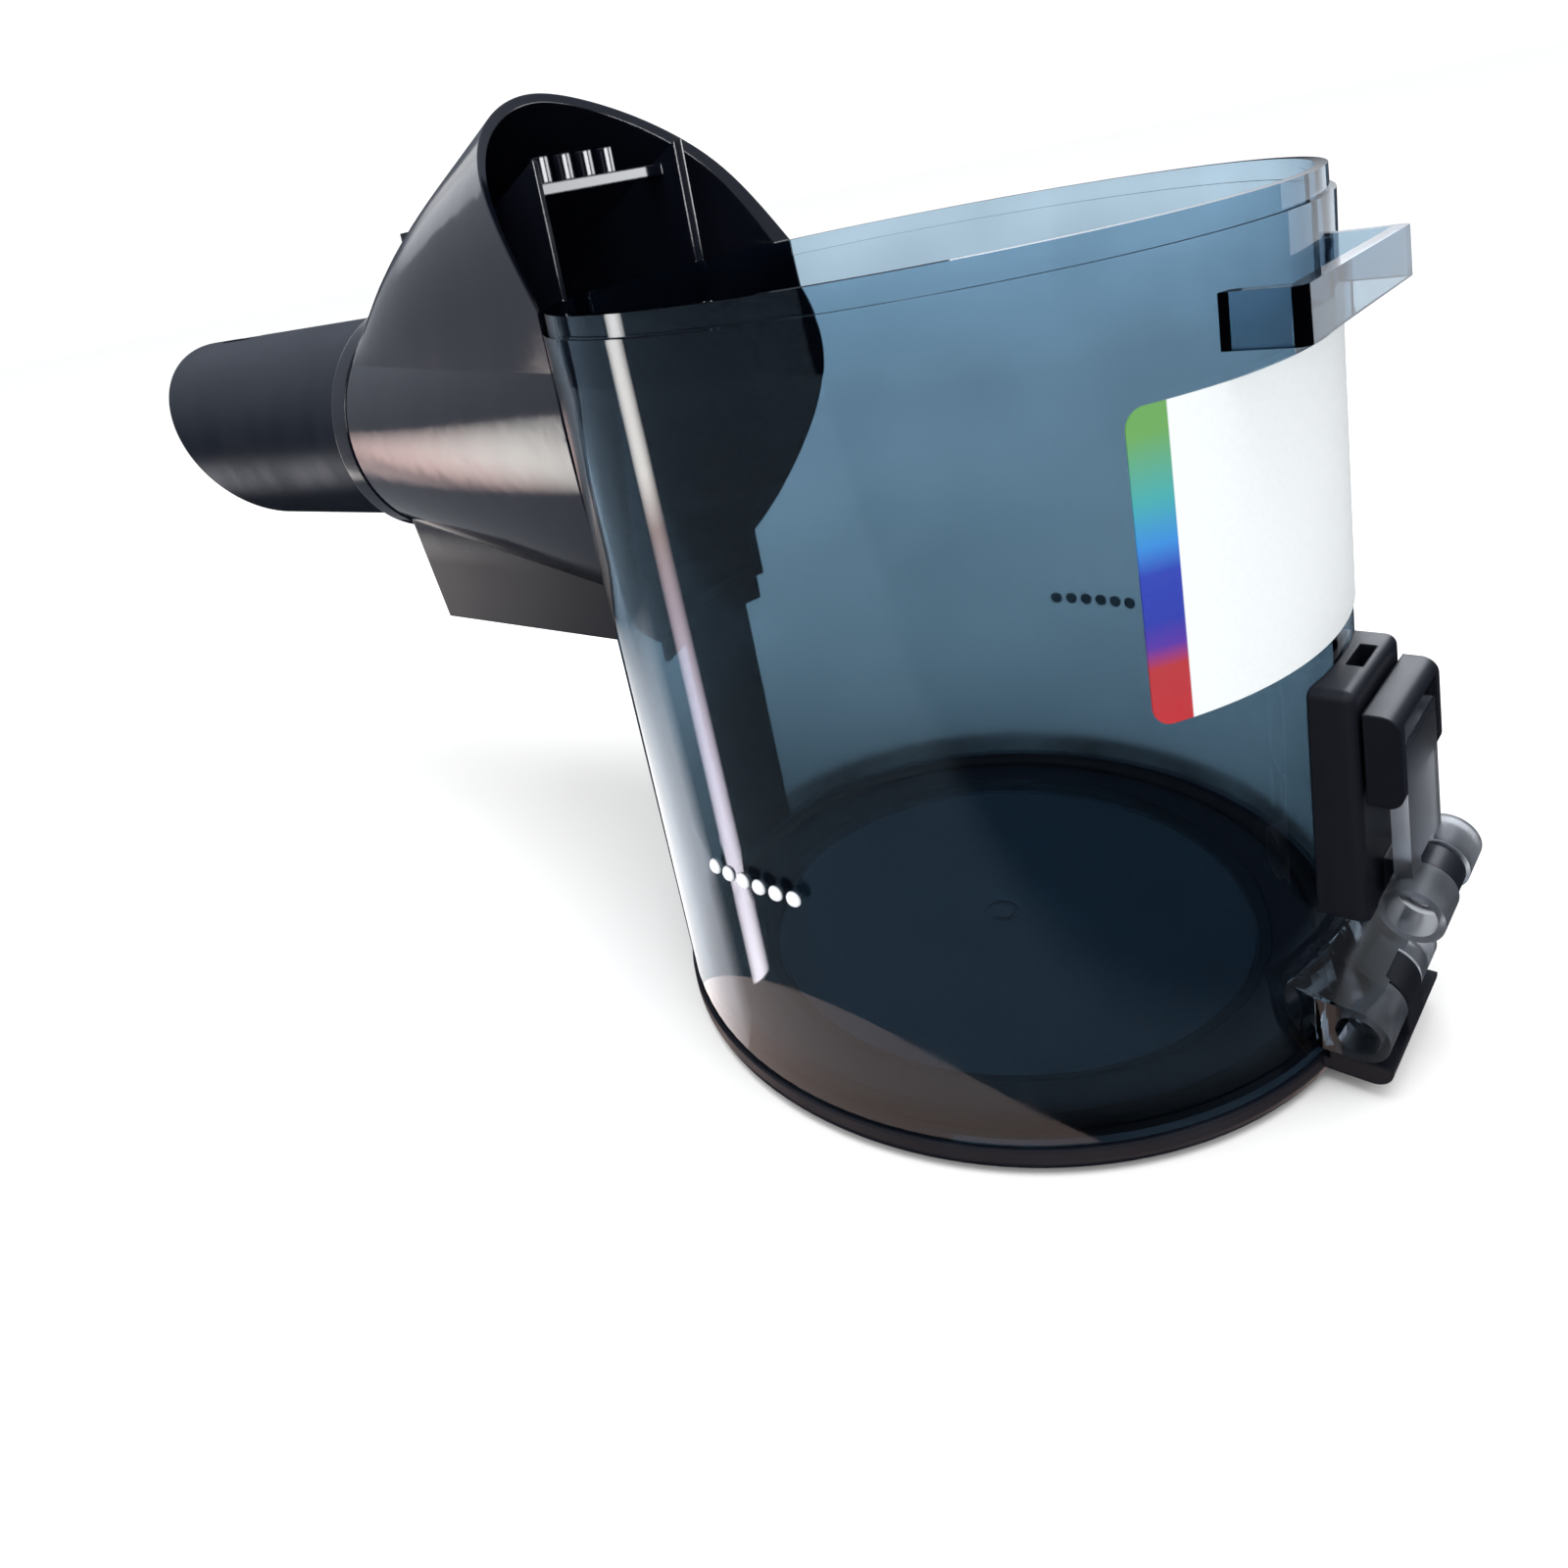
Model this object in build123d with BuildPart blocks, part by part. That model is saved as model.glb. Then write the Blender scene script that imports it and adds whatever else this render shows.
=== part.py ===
from build123d import *
import os
from math import cos, pi, radians, sin, sqrt, tan

# Clear dust cup of a cordless stick vacuum, in millimetres.
# Z is the axis of the canister and z = 0 is the underside of its lid.
# +X is the rear, with the hinge, the latch and the strap. The inlet points to the front.

os.makedirs("parts", exist_ok=True)

# Canister, a little wider at the rim than at the lid
can_top_r = 45.0
can_bottom_r = 43.3
can_wall = 1.8
rim_z = 95.2
rim_step = 0.6
rim_step_height = 2.5
rim_land = 8.0

# Clearances
parting_gap = 0.2
seat_gap = 0.1
running_gap = 0.05
pin_seat_gap = 0.01
side_gap = 0.4

# Lid
lid_proud = 0.4
lid_thickness = 3.0
lid_edge_fillet = 1.6
lid_ring_width = 12.5
window_groove = 0.4
window_flange = 2.0
window_flange_z = 1.2
gate_ring_r = 2.2
gate_ring_width = 0.6
gate_ring_depth = 0.3
seal_inset = 1.1
seal_width = 2.2
seal_height = 0.8
seal_groove_depth = 1.0
lip_half_width = 6.7
lip_reach = 1.8
lip_thickness = 2.2
lip_fillet = 0.8

# Lid hinge at the rear: a clear knuckle, open at both ends, round an ear of the lid in its middle
hinge_out = 3.0
hinge_z = 7.4
knuckle_r = 3.0
knuckle_half_width = 9.5
knuckle_hollow_r = 2.1
knuckle_hollow_depth = 3.2
ear_half_width = 2.6
toe_half_width = 9.0
toe_bottom_z = 1.6
toe_fillet = 2.2
web_top_z = 15.6
web_half_width = 14.5
pin_r = 1.2
pin_chamfer = 0.25
pin_end_inset = 0.2

# Strap across the rear, near the rim
strap_out = 3.75
strap_half_width = 16.9
strap_top_z = 87.5
strap_height = 5.25
strap_wall = 1.5
strap_fillet = 1.1

# Raised fill dots, one row on each side
dot_count = 6
dot_pitch = 2.4
dot_x_middle = -2.9
dot_z = 30.8
dot_r = 0.7
dot_height = 0.4

# Label on the rear wall
label_half_angle = 35.7
label_bottom_z = 48.75
label_top_z = 79.5
label_thickness = 0.15
label_corner = 2.0

# Latch housing and its pin ears
housing_out = 3.5
housing_half_width = 8.2
housing_bottom_z = 20.5
housing_top_z = 45.9
housing_fillet = 1.1
slot_length = 5.4
slot_width = 1.6
slot_depth = 5.0
slot_y = 1.3
pin_ear_r = 2.6
pin_ear_half_width = 2.0

# Release lever with its barrel, open at both ends round the housing's ear
lever_out = 3.75
lever_z = 22.45
barrel_r = 2.9
barrel_half_width = 7.8
barrel_hollow_r = 2.2
barrel_hub = 1.4
ear_slot_rise = 1.0
plate_half_width = 5.8
plate_out = 1.9
plate_thickness = 1.6
plate_bottom_z = 18.0
plate_top_z = 40.5
plate_fillet = 1.0

# Finger tab, a cap over the top of the lever's plate
tab_half_width = 7.5
tab_cheek = 1.5
tab_back = 1.4
tab_reach = 3.2
tab_bottom_z = 33.8
tab_top_z = 43.7
tab_roof = 1.3
tab_corner = 1.6

# Torsion spring on the lever pin, in the far half of the barrel
spring_r = 1.7
spring_wire_r = 0.2
spring_pitch = 0.6
spring_turns = 5.5

# Inlet: its direction in plan, turned from the front towards -Y
inlet_angle = 6.0
inlet_z = 77.7
tube_r = 18.0
tube_wall = 1.6
tube_shoulder = 0.5
tube_length = 64.0
tube_end_slope = 31.4
lock_hole_length = 12.0
lock_hole_width = 5.0
lock_hole_inset = 13.0

# Hood: sections across the inlet, from the collar to a root plane inside the canister's circle.
# The root's points are half-widths with heights above and drops below the crease.
hood_wall = 1.7
collar_reach = 48.0
collar_wall = 2.2
collar_length = 3.0
collar_seat = 4.0
collar_fillet = 1.4
collar_lip = 0.3
collar_lap = 0.5
root_s = 25.0
crease_angle = 36.9
crease_root_z = 87.0
crease_root_t = 31.6
arch_root = ((31.8, 11.0), (30.0, 29.3), (23.3, 41.8), (12.9, 50.9), (0.0, 55.4))
trough_root = ((30.6, 17.6), (25.3, 28.7), (18.8, 36.4), (10.0, 41.4), (0.0, 42.4))
scoop_bulge = 3.2
scoop_bulge_length = 48.0
scoop_sections = 6
mouth_lean = 0.335
keel_bottom_z = 44.2
keel_top_z = 64.0
keel_tip_inset = 4.5
keel_shoulder_inset = 0.4
keel_root_half_width = 15.7
keel_tip_half_width = 12.0
keel_fillet = 2.5
lug_s = 85.0
lug_length = 5.0
lug_half_width = 4.0
lug_top_z = 108.6

# Two ribs inside the hood, one on each side of the duct, with a bar across them and teeth on the bar
rib_half_gap = 15.0
rib_thickness = 1.4
rib_front_s = 30.0
rib_back_s = 84.0
rib_front_z = 120.0
rib_back_z = 91.0
bar_gap = 0.5
bar_depth = 3.0
bar_top_z = 110.5
bar_thickness = 1.6
tooth_count = 4
tooth_pitch = 4.6
tooth_first_t = -4.0
tooth_r = 1.3
tooth_height = 3.6

# Front catch strip
catch_middle_y = -2.0
catch_half_width = 7.4
catch_thickness = 1.1
catch_top_z = 42.0
catch_head_height = 3.5
catch_head_half_angle = 17.5

# Worked out from the above
can_bottom_z = lid_thickness + parting_gap
rim_step_z = rim_z - rim_step_height
can_draft = (can_top_r - can_bottom_r) / (rim_step_z - can_bottom_z)
can_bottom_inner_r = can_bottom_r - can_wall
can_top_inner_r = can_top_r - can_wall


def wall_r(z):
    """Outer radius of the canister at height z."""
    return can_bottom_r + can_draft * (z - can_bottom_z)


lid_r = can_bottom_r + lid_proud
window_r = lid_r - lid_ring_width
seal_r = can_bottom_inner_r - seal_inset
hinge_x = can_bottom_r + hinge_out
strap_x = wall_r(strap_top_z) + strap_out
housing_x = wall_r(housing_top_z) + housing_out
lever_x = housing_x + lever_out
plate_x = housing_x + plate_out
hinge_axis = Plane(origin=(hinge_x, 0, hinge_z), x_dir=(1, 0, 0), z_dir=(0, -1, 0))
lever_axis = Plane(origin=(lever_x, 0, lever_z), x_dir=(1, 0, 0), z_dir=(0, -1, 0))
knuckle_slot_y = ear_half_width + side_gap
hinge_pin_y = knuckle_half_width - knuckle_hollow_depth - pin_end_inset
toe_top_z = hinge_z - knuckle_r - side_gap
barrel_slot_y = pin_ear_half_width + side_gap
barrel_hollow_y = barrel_slot_y + barrel_hub
lever_pin_near_y = barrel_hollow_y + pin_end_inset
lever_pin_far_y = barrel_half_width - pin_end_inset
ear_slot_top_z = lever_z + pin_ear_r + ear_slot_rise
rib_middle_t = rib_half_gap + rib_thickness / 2
collar_s = can_top_r + collar_reach
collar_end_s = collar_s + collar_length
tube_start_s = collar_s - collar_seat
tube_tip_s = collar_end_s + tube_length
tube_insert_r = tube_r - tube_shoulder
collar_r = tube_insert_r + seat_gap + collar_wall
crease_collar_t = collar_r * cos(radians(crease_angle))
crease_collar_z = inlet_z + collar_r * sin(radians(crease_angle))
arch_top_z = crease_root_z + arch_root[-1][1]
inlet_dir = Vector(-cos(radians(inlet_angle)), -sin(radians(inlet_angle)), 0)
inlet_side = Vector(sin(radians(inlet_angle)), -cos(radians(inlet_angle)), 0)
inlet_upright = Plane(origin=(0, 0, 0), x_dir=inlet_dir, z_dir=inlet_side * -1)


def across_inlet(s):
    """Plane across the inlet at distance s from the canister's axis: x to the side, y up."""
    return Plane(origin=inlet_dir * s, x_dir=inlet_side, z_dir=inlet_dir)


def inlet_flat(z):
    """Level plane at height z with x along the inlet and y to its side."""
    return Plane(origin=(0, 0, z), x_dir=inlet_dir, z_dir=(0, 0, 1))


def scoop_side(s, inset):
    """Points of half a section of the scoop, from the crease to the top, moved in by inset."""
    root = ((crease_root_t, 0.0),) + arch_root
    blend = (collar_s - s) / (collar_s - root_s)
    along = min((collar_s - s) / scoop_bulge_length, 1.0)
    bulge = scoop_bulge * sin(pi * along**0.6)
    points = []
    for index, (root_t, root_rise) in enumerate(root):
        share = index / (len(root) - 1)
        turn = radians(crease_angle + share * (90 - crease_angle))
        out = radians(90 * share)
        swell = bulge * sin(radians(130 * share)) - inset
        t = (1 - blend) * collar_r * cos(turn) + blend * root_t
        z = (1 - blend) * (inlet_z + collar_r * sin(turn)) + blend * (crease_root_z + root_rise)
        points.append((t + swell * cos(out), z + swell * sin(out)))
    return points


# Envelope of the wall with the seat gap, leaning outwards above the rim, for the trimming of parts on it
with BuildPart() as wall_envelope:
    with BuildSketch(Plane.XZ):
        with BuildLine():
            Polyline(
                (0, 0),
                (wall_r(0) + seat_gap, 0),
                (can_top_r + seat_gap, rim_step_z),
                (can_top_r + seat_gap, rim_z),
                (can_top_r + seat_gap + mouth_lean * (arch_top_z - rim_z), arch_top_z),
                (0, arch_top_z),
                close=True,
            )
        make_face()
    revolve(axis=Axis.Z)


# Canister
with BuildPart() as canister:
    with BuildSketch(Plane.XZ):
        with BuildLine():
            Polyline(
                (0, can_bottom_z),
                (can_bottom_r, can_bottom_z),
                (can_top_r, rim_step_z),
                (can_top_r - rim_step, rim_step_z),
                (can_top_r - rim_step, rim_z),
                (0, rim_z),
                close=True,
            )
        make_face()
    revolve(axis=Axis.Z)

    # Strap: a flat bar on two end walls that grow out of the tube
    strap_root_x = can_top_inner_r - strap_half_width / 2
    strap_depth = strap_x - strap_root_x
    with BuildSketch(Plane.XY.offset(strap_top_z - strap_height)) as strap:
        with Locations((strap_root_x, 0)):
            Rectangle(strap_depth, 2 * strap_half_width, align=(Align.MIN, Align.CENTER))
        fillet(strap.vertices().group_by(Axis.X)[-1], strap_fillet)
        with Locations((strap_root_x, 0)):
            Rectangle(
                strap_depth - strap_wall,
                2 * (strap_half_width - strap_wall),
                align=(Align.MIN, Align.CENTER),
                mode=Mode.SUBTRACT,
            )
    extrude(amount=strap_height)

    # Hinge knuckle with its web to the wall
    with BuildSketch(Plane.XZ):
        with Locations((hinge_x, hinge_z)):
            Circle(knuckle_r)
        with Locations((hinge_x, hinge_z)):
            Rectangle(hinge_x - can_bottom_inner_r, 2 * knuckle_r, align=(Align.MAX, Align.CENTER))
    extrude(amount=knuckle_half_width, both=True)

    # Flare of the web, wider where it meets the wall
    flare_bottom_z = hinge_z + knuckle_r
    flare_root_x = can_bottom_inner_r - web_half_width / 2
    for flare_z, flare_x, flare_half in (
        (flare_bottom_z, hinge_x + knuckle_r / 2, knuckle_half_width),
        (web_top_z, wall_r(web_top_z) - can_wall / 3, web_half_width),
    ):
        shoulder_x = sqrt(flare_x**2 - flare_half**2)
        with BuildSketch(Plane.XY.offset(flare_z)):
            with BuildLine():
                Polyline(
                    (flare_root_x, -flare_half),
                    (shoulder_x, -flare_half),
                    (flare_x, -flare_half / 2),
                    (flare_x, flare_half / 2),
                    (shoulder_x, flare_half),
                    (flare_root_x, flare_half),
                    close=True,
                )
            make_face()
    loft(ruled=True)

    # Raised dots on both sides
    for side in (-1, 1):
        for index in range(dot_count):
            dot_x = dot_x_middle + (index - (dot_count - 1) / 2) * dot_pitch
            dot_wall_y = sqrt(wall_r(dot_z) ** 2 - dot_x**2)
            dot_plane = Plane(origin=(dot_x, side * (dot_wall_y - can_wall), dot_z), z_dir=(0, side, 0))
            with BuildSketch(dot_plane):
                Circle(dot_r)
            extrude(amount=can_wall + dot_height)

    # Inside of the tube, straight near the rim
    with BuildSketch(Plane.XZ):
        with BuildLine():
            Polyline(
                (0, 0),
                (can_bottom_inner_r, 0),
                (can_bottom_inner_r, can_bottom_z),
                (can_top_inner_r, rim_z - rim_land),
                (can_top_inner_r, rim_z),
                (0, rim_z),
                close=True,
            )
        make_face()
    revolve(axis=Axis.Z, mode=Mode.SUBTRACT)

    # Slot for the lid's ear, bore for the hinge pin and the open ends of the knuckle
    with BuildSketch(Plane.XZ):
        with Locations((hinge_x - knuckle_r - side_gap, hinge_z)):
            Rectangle(
                2 * (knuckle_r + side_gap),
                2 * (knuckle_r + side_gap),
                align=(Align.MIN, Align.CENTER),
            )
    extrude(amount=knuckle_slot_y, both=True, mode=Mode.SUBTRACT)
    with BuildSketch(hinge_axis):
        Circle(pin_r + running_gap)
    extrude(amount=knuckle_half_width, both=True, mode=Mode.SUBTRACT)
    for side in (-1, 1):
        with BuildSketch(hinge_axis.offset(side * knuckle_half_width)):
            Circle(knuckle_hollow_r)
        extrude(amount=-side * knuckle_hollow_depth, mode=Mode.SUBTRACT)
canister.part.label = "canister"
export_step(canister.part, "parts/canister.step")


# Lid ring with hinge ears, finger lip, window seat and seal groove
with BuildPart() as lid_ring:
    with BuildSketch(Plane.XZ) as lid_profile:
        with BuildLine():
            Polyline(
                (window_r + window_groove, 0),
                (lid_r, 0),
                (lid_r, lid_thickness),
                (window_r + window_flange, lid_thickness),
                (window_r + window_flange, window_flange_z),
                (window_r + window_groove, window_flange_z),
                close=True,
            )
        make_face()
        fillet(lid_profile.vertices().group_by(Axis.X)[-1].sort_by(Axis.Z)[0], lid_edge_fillet)
    revolve(axis=Axis.Z)
    with BuildSketch(Plane.XZ):
        with Locations((seal_r, lid_thickness)):
            Rectangle(seal_width + 2 * seat_gap, 2 * seal_groove_depth, align=(Align.MAX, Align.CENTER))
    revolve(axis=Axis.Z, mode=Mode.SUBTRACT)

    # Toe under the knuckle with a foot under the tube, and the ear that goes round the pin
    with BuildSketch(Plane.XZ) as toe:
        with Locations((hinge_x, toe_bottom_z)):
            Rectangle(2 * knuckle_r, toe_top_z - toe_bottom_z, align=(Align.CENTER, Align.MIN))
        fillet(toe.vertices().group_by(Axis.Z)[0].sort_by(Axis.X)[-1], toe_fillet)
        with Locations((seal_r, toe_bottom_z)):
            Rectangle(hinge_x - seal_r, lid_thickness - toe_bottom_z, align=(Align.MIN, Align.MIN))
    extrude(amount=toe_half_width, both=True)
    with BuildSketch(Plane.XZ):
        with Locations((hinge_x, hinge_z)):
            Circle(knuckle_r)
            Rectangle(2 * knuckle_r, hinge_z - toe_top_z, align=(Align.CENTER, Align.MAX))
    extrude(amount=ear_half_width, both=True)
    with BuildSketch(hinge_axis):
        Circle(pin_r + pin_seat_gap)
    extrude(amount=ear_half_width, both=True, mode=Mode.SUBTRACT)

    # Finger lip at the front
    with BuildSketch(Plane.XY.offset(lid_thickness - lip_thickness)) as lip:
        with Locations((-lid_r - lip_reach, 0)):
            Rectangle(lid_r + lip_reach - seal_r, 2 * lip_half_width, align=(Align.MIN, Align.CENTER))
        fillet(lip.vertices().group_by(Axis.X)[0], lip_fillet)
    extrude(amount=lip_thickness)
lid_ring.part.label = "lid_ring"
export_step(lid_ring.part, "parts/lid_ring.step")


# Window: a clear disc with a flange that rests in the ring
with BuildPart() as lid_window:
    with BuildSketch(Plane.XY):
        Circle(window_r)
    extrude(amount=lid_thickness)
    with BuildSketch(Plane.XY.offset(window_flange_z + seat_gap)):
        Circle(window_r + window_flange - seat_gap)
    extrude(amount=lid_thickness - window_flange_z - seat_gap)
    with BuildSketch(Plane.XY):
        Circle(gate_ring_r)
        Circle(gate_ring_r - gate_ring_width, mode=Mode.SUBTRACT)
    extrude(amount=gate_ring_depth, mode=Mode.SUBTRACT)
lid_window.part.label = "lid_window"
export_step(lid_window.part, "parts/lid_window.step")


# Seal: a rubber ring with a rounded top in the lid's groove
with BuildPart() as lid_seal:
    with BuildSketch(Plane.XZ) as seal_profile:
        with Locations((seal_r - seat_gap, lid_thickness - seal_groove_depth + seat_gap)):
            Rectangle(seal_width, seal_groove_depth + seal_height, align=(Align.MAX, Align.MIN))
        fillet(seal_profile.vertices().group_by(Axis.Z)[-1], seal_width / 3)
    revolve(axis=Axis.Z)
lid_seal.part.label = "lid_seal"
export_step(lid_seal.part, "parts/lid_seal.step")


# Hinge pin
with BuildPart() as hinge_pin:
    with BuildSketch(hinge_axis):
        Circle(pin_r)
    extrude(amount=hinge_pin_y, both=True)
    chamfer(hinge_pin.edges().filter_by(GeomType.CIRCLE), pin_chamfer)
hinge_pin.part.label = "hinge_pin"
export_step(hinge_pin.part, "parts/hinge_pin.step")


# Latch housing: a rounded block that fits the curve of the wall
with BuildPart() as latch_housing:
    with BuildSketch(Plane.XY.offset(housing_bottom_z)):
        with Locations((can_bottom_inner_r - can_wall, 0)):
            Rectangle(
                housing_x - can_bottom_inner_r + can_wall,
                2 * housing_half_width,
                align=(Align.MIN, Align.CENTER),
            )
    extrude(amount=housing_top_z - housing_bottom_z)
    outer_edges = latch_housing.edges().filter_by(Axis.Z).group_by(Axis.X)[-1]
    top_edges = latch_housing.faces().sort_by(Axis.Z)[-1].edges()
    fillet(outer_edges + top_edges.filter_by(Axis.X) + top_edges.sort_by(Axis.X)[-1:], housing_fillet)
    add(wall_envelope.part, mode=Mode.SUBTRACT)
    with BuildSketch(Plane.XY.offset(housing_top_z)):
        with Locations(((wall_r(housing_top_z) + housing_x) / 2, slot_y)):
            Rectangle(slot_width, slot_length)
    extrude(amount=-slot_depth, mode=Mode.SUBTRACT)

    # Ear that carries the lever's pin
    with BuildSketch(Plane.XZ):
        with Locations((lever_x, lever_z)):
            Circle(pin_ear_r)
            Rectangle(lever_x - housing_x + housing_fillet, 1.6 * pin_ear_r, align=(Align.MAX, Align.CENTER))
    extrude(amount=pin_ear_half_width, both=True)
    with BuildSketch(lever_axis):
        Circle(pin_r + pin_seat_gap)
    extrude(amount=pin_ear_half_width, both=True, mode=Mode.SUBTRACT)
latch_housing.part.label = "latch_housing"
export_step(latch_housing.part, "parts/latch_housing.step")


# Release lever: plate and hollow barrel in one clear moulding, slotted for the housing's ear
with BuildPart() as release_lever:
    with BuildSketch(Plane.YZ.offset(plate_x)) as plate:
        with Locations((0, plate_bottom_z)):
            Rectangle(2 * plate_half_width, plate_top_z - plate_bottom_z, align=(Align.CENTER, Align.MIN))
        fillet(plate.vertices(), plate_fillet)
    extrude(amount=plate_thickness)
    with BuildSketch(lever_axis):
        Circle(barrel_r)
    extrude(amount=barrel_half_width, both=True)
    for side in (-1, 1):
        with BuildSketch(lever_axis.offset(side * barrel_half_width)):
            Circle(barrel_hollow_r)
        extrude(amount=-side * (barrel_half_width - barrel_hollow_y), mode=Mode.SUBTRACT)
    with BuildSketch(lever_axis):
        Circle(pin_r + running_gap)
    extrude(amount=barrel_half_width, both=True, mode=Mode.SUBTRACT)
    with BuildSketch(Plane.XZ):
        with Locations((housing_x, ear_slot_top_z)):
            Rectangle(
                lever_x + 2 * barrel_r - housing_x,
                ear_slot_top_z - plate_bottom_z + barrel_r,
                align=(Align.MIN, Align.MAX),
            )
    extrude(amount=barrel_slot_y, both=True, mode=Mode.SUBTRACT)
release_lever.part.label = "release_lever"
export_step(release_lever.part, "parts/release_lever.step")


# Finger tab: a cap with a back, two cheeks and a roof, open to the outside
with BuildPart() as finger_tab:
    tab_back_x = plate_x - seat_gap - tab_back
    with BuildSketch(Plane.XZ) as tab_side:
        with Locations((tab_back_x, tab_bottom_z)):
            Rectangle(tab_reach, tab_top_z - tab_bottom_z, align=(Align.MIN, Align.MIN))
        fillet(tab_side.vertices().group_by(Axis.X)[-1], tab_corner)
    extrude(amount=tab_half_width, both=True)
    with BuildSketch(Plane.YZ.offset(tab_back_x + tab_back)):
        with Locations((0, tab_bottom_z)):
            Rectangle(
                2 * (tab_half_width - tab_cheek),
                tab_top_z - tab_roof - tab_bottom_z,
                align=(Align.CENTER, Align.MIN),
            )
    extrude(amount=tab_reach, mode=Mode.SUBTRACT)
finger_tab.part.label = "finger_tab"
export_step(finger_tab.part, "parts/finger_tab.step")


# Lever pin
with BuildPart() as lever_pin:
    with BuildSketch(lever_axis.offset(-lever_pin_far_y)):
        Circle(pin_r)
    extrude(amount=lever_pin_far_y + lever_pin_near_y)
    chamfer(lever_pin.edges().filter_by(GeomType.CIRCLE), pin_chamfer)
lever_pin.part.label = "lever_pin"
export_step(lever_pin.part, "parts/lever_pin.step")


# Torsion spring, wound round the lever pin inside the barrel
with BuildPart() as lever_spring:
    with BuildLine() as coil:
        Helix(
            pitch=spring_pitch,
            height=spring_pitch * spring_turns,
            radius=spring_r,
            center=(lever_x, barrel_hollow_y + spring_wire_r + running_gap, lever_z),
            direction=(0, 1, 0),
        )
    with BuildSketch(Plane(origin=coil.line @ 0, z_dir=coil.line % 0)):
        Circle(spring_wire_r)
    sweep(path=coil.line, is_frenet=True)
lever_spring.part.label = "lever_spring"
export_step(lever_spring.part, "parts/lever_spring.step")


# Label: a thin skin on the rear wall
with BuildPart() as rear_label:
    label_dir = Vector(cos(radians(label_half_angle)), -sin(radians(label_half_angle)), 0)
    label_gap = seat_gap / 2
    with BuildSketch(Plane(origin=(0, 0, 0), x_dir=label_dir, z_dir=label_dir.cross(Vector(0, 0, 1)))):
        with BuildLine():
            Polyline(
                (wall_r(label_bottom_z) + label_gap, label_bottom_z),
                (wall_r(label_bottom_z) + label_gap + label_thickness, label_bottom_z),
                (wall_r(label_top_z) + label_gap + label_thickness, label_top_z),
                (wall_r(label_top_z) + label_gap, label_top_z),
                close=True,
            )
        make_face()
    revolve(axis=Axis.Z, revolution_arc=2 * label_half_angle)
    fillet(rear_label.edges().sort_by(SortBy.LENGTH)[:4], label_corner)
rear_label.part.label = "rear_label"
export_step(rear_label.part, "parts/rear_label.step")


# Front catch: a strip on the wall, from the lid up to the hood's keel
with BuildPart() as front_catch:
    for catch_z in (can_bottom_z, catch_top_z):
        with BuildSketch(Plane.XY.offset(catch_z)):
            with Locations((-wall_r(catch_z) - seat_gap - catch_thickness, catch_middle_y)):
                Rectangle(can_wall + catch_thickness, 2 * catch_half_width, align=(Align.MIN, Align.CENTER))
    loft(ruled=True)
    add(wall_envelope.part, mode=Mode.SUBTRACT)

    # Head of the strip, under the keel
    head_angle = radians(inlet_angle - catch_head_half_angle)
    head_dir = Vector(-cos(head_angle), -sin(head_angle), 0)
    head_top_z = keel_bottom_z - parting_gap
    head_seat_r = wall_r(head_top_z) + seat_gap
    with BuildSketch(Plane(origin=(0, 0, 0), x_dir=head_dir, z_dir=head_dir.cross(Vector(0, 0, 1)))):
        with Locations((head_seat_r, head_top_z)):
            Rectangle(catch_thickness, catch_head_height, align=(Align.MIN, Align.MAX))
    revolve(axis=Axis.Z, revolution_arc=2 * catch_head_half_angle)
front_catch.part.label = "front_catch"
export_step(front_catch.part, "parts/front_catch.step")


# Plates for the ribs inside the hood, clear of the canister but still larger than the hood's hollow
with BuildPart() as rib_plates:
    for side in (-1, 1):
        with BuildSketch(inlet_upright.offset(side * rib_middle_t)):
            with BuildLine():
                Polyline(
                    (rib_front_s, keel_bottom_z),
                    (rib_back_s, keel_bottom_z),
                    (rib_back_s, rib_back_z),
                    (rib_front_s, rib_front_z),
                    close=True,
                )
            make_face()
        extrude(amount=rib_thickness / 2, both=True)
    with BuildSketch(Plane.XY):
        Circle(can_top_r + seat_gap)
    extrude(amount=arch_top_z, mode=Mode.SUBTRACT)


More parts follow.
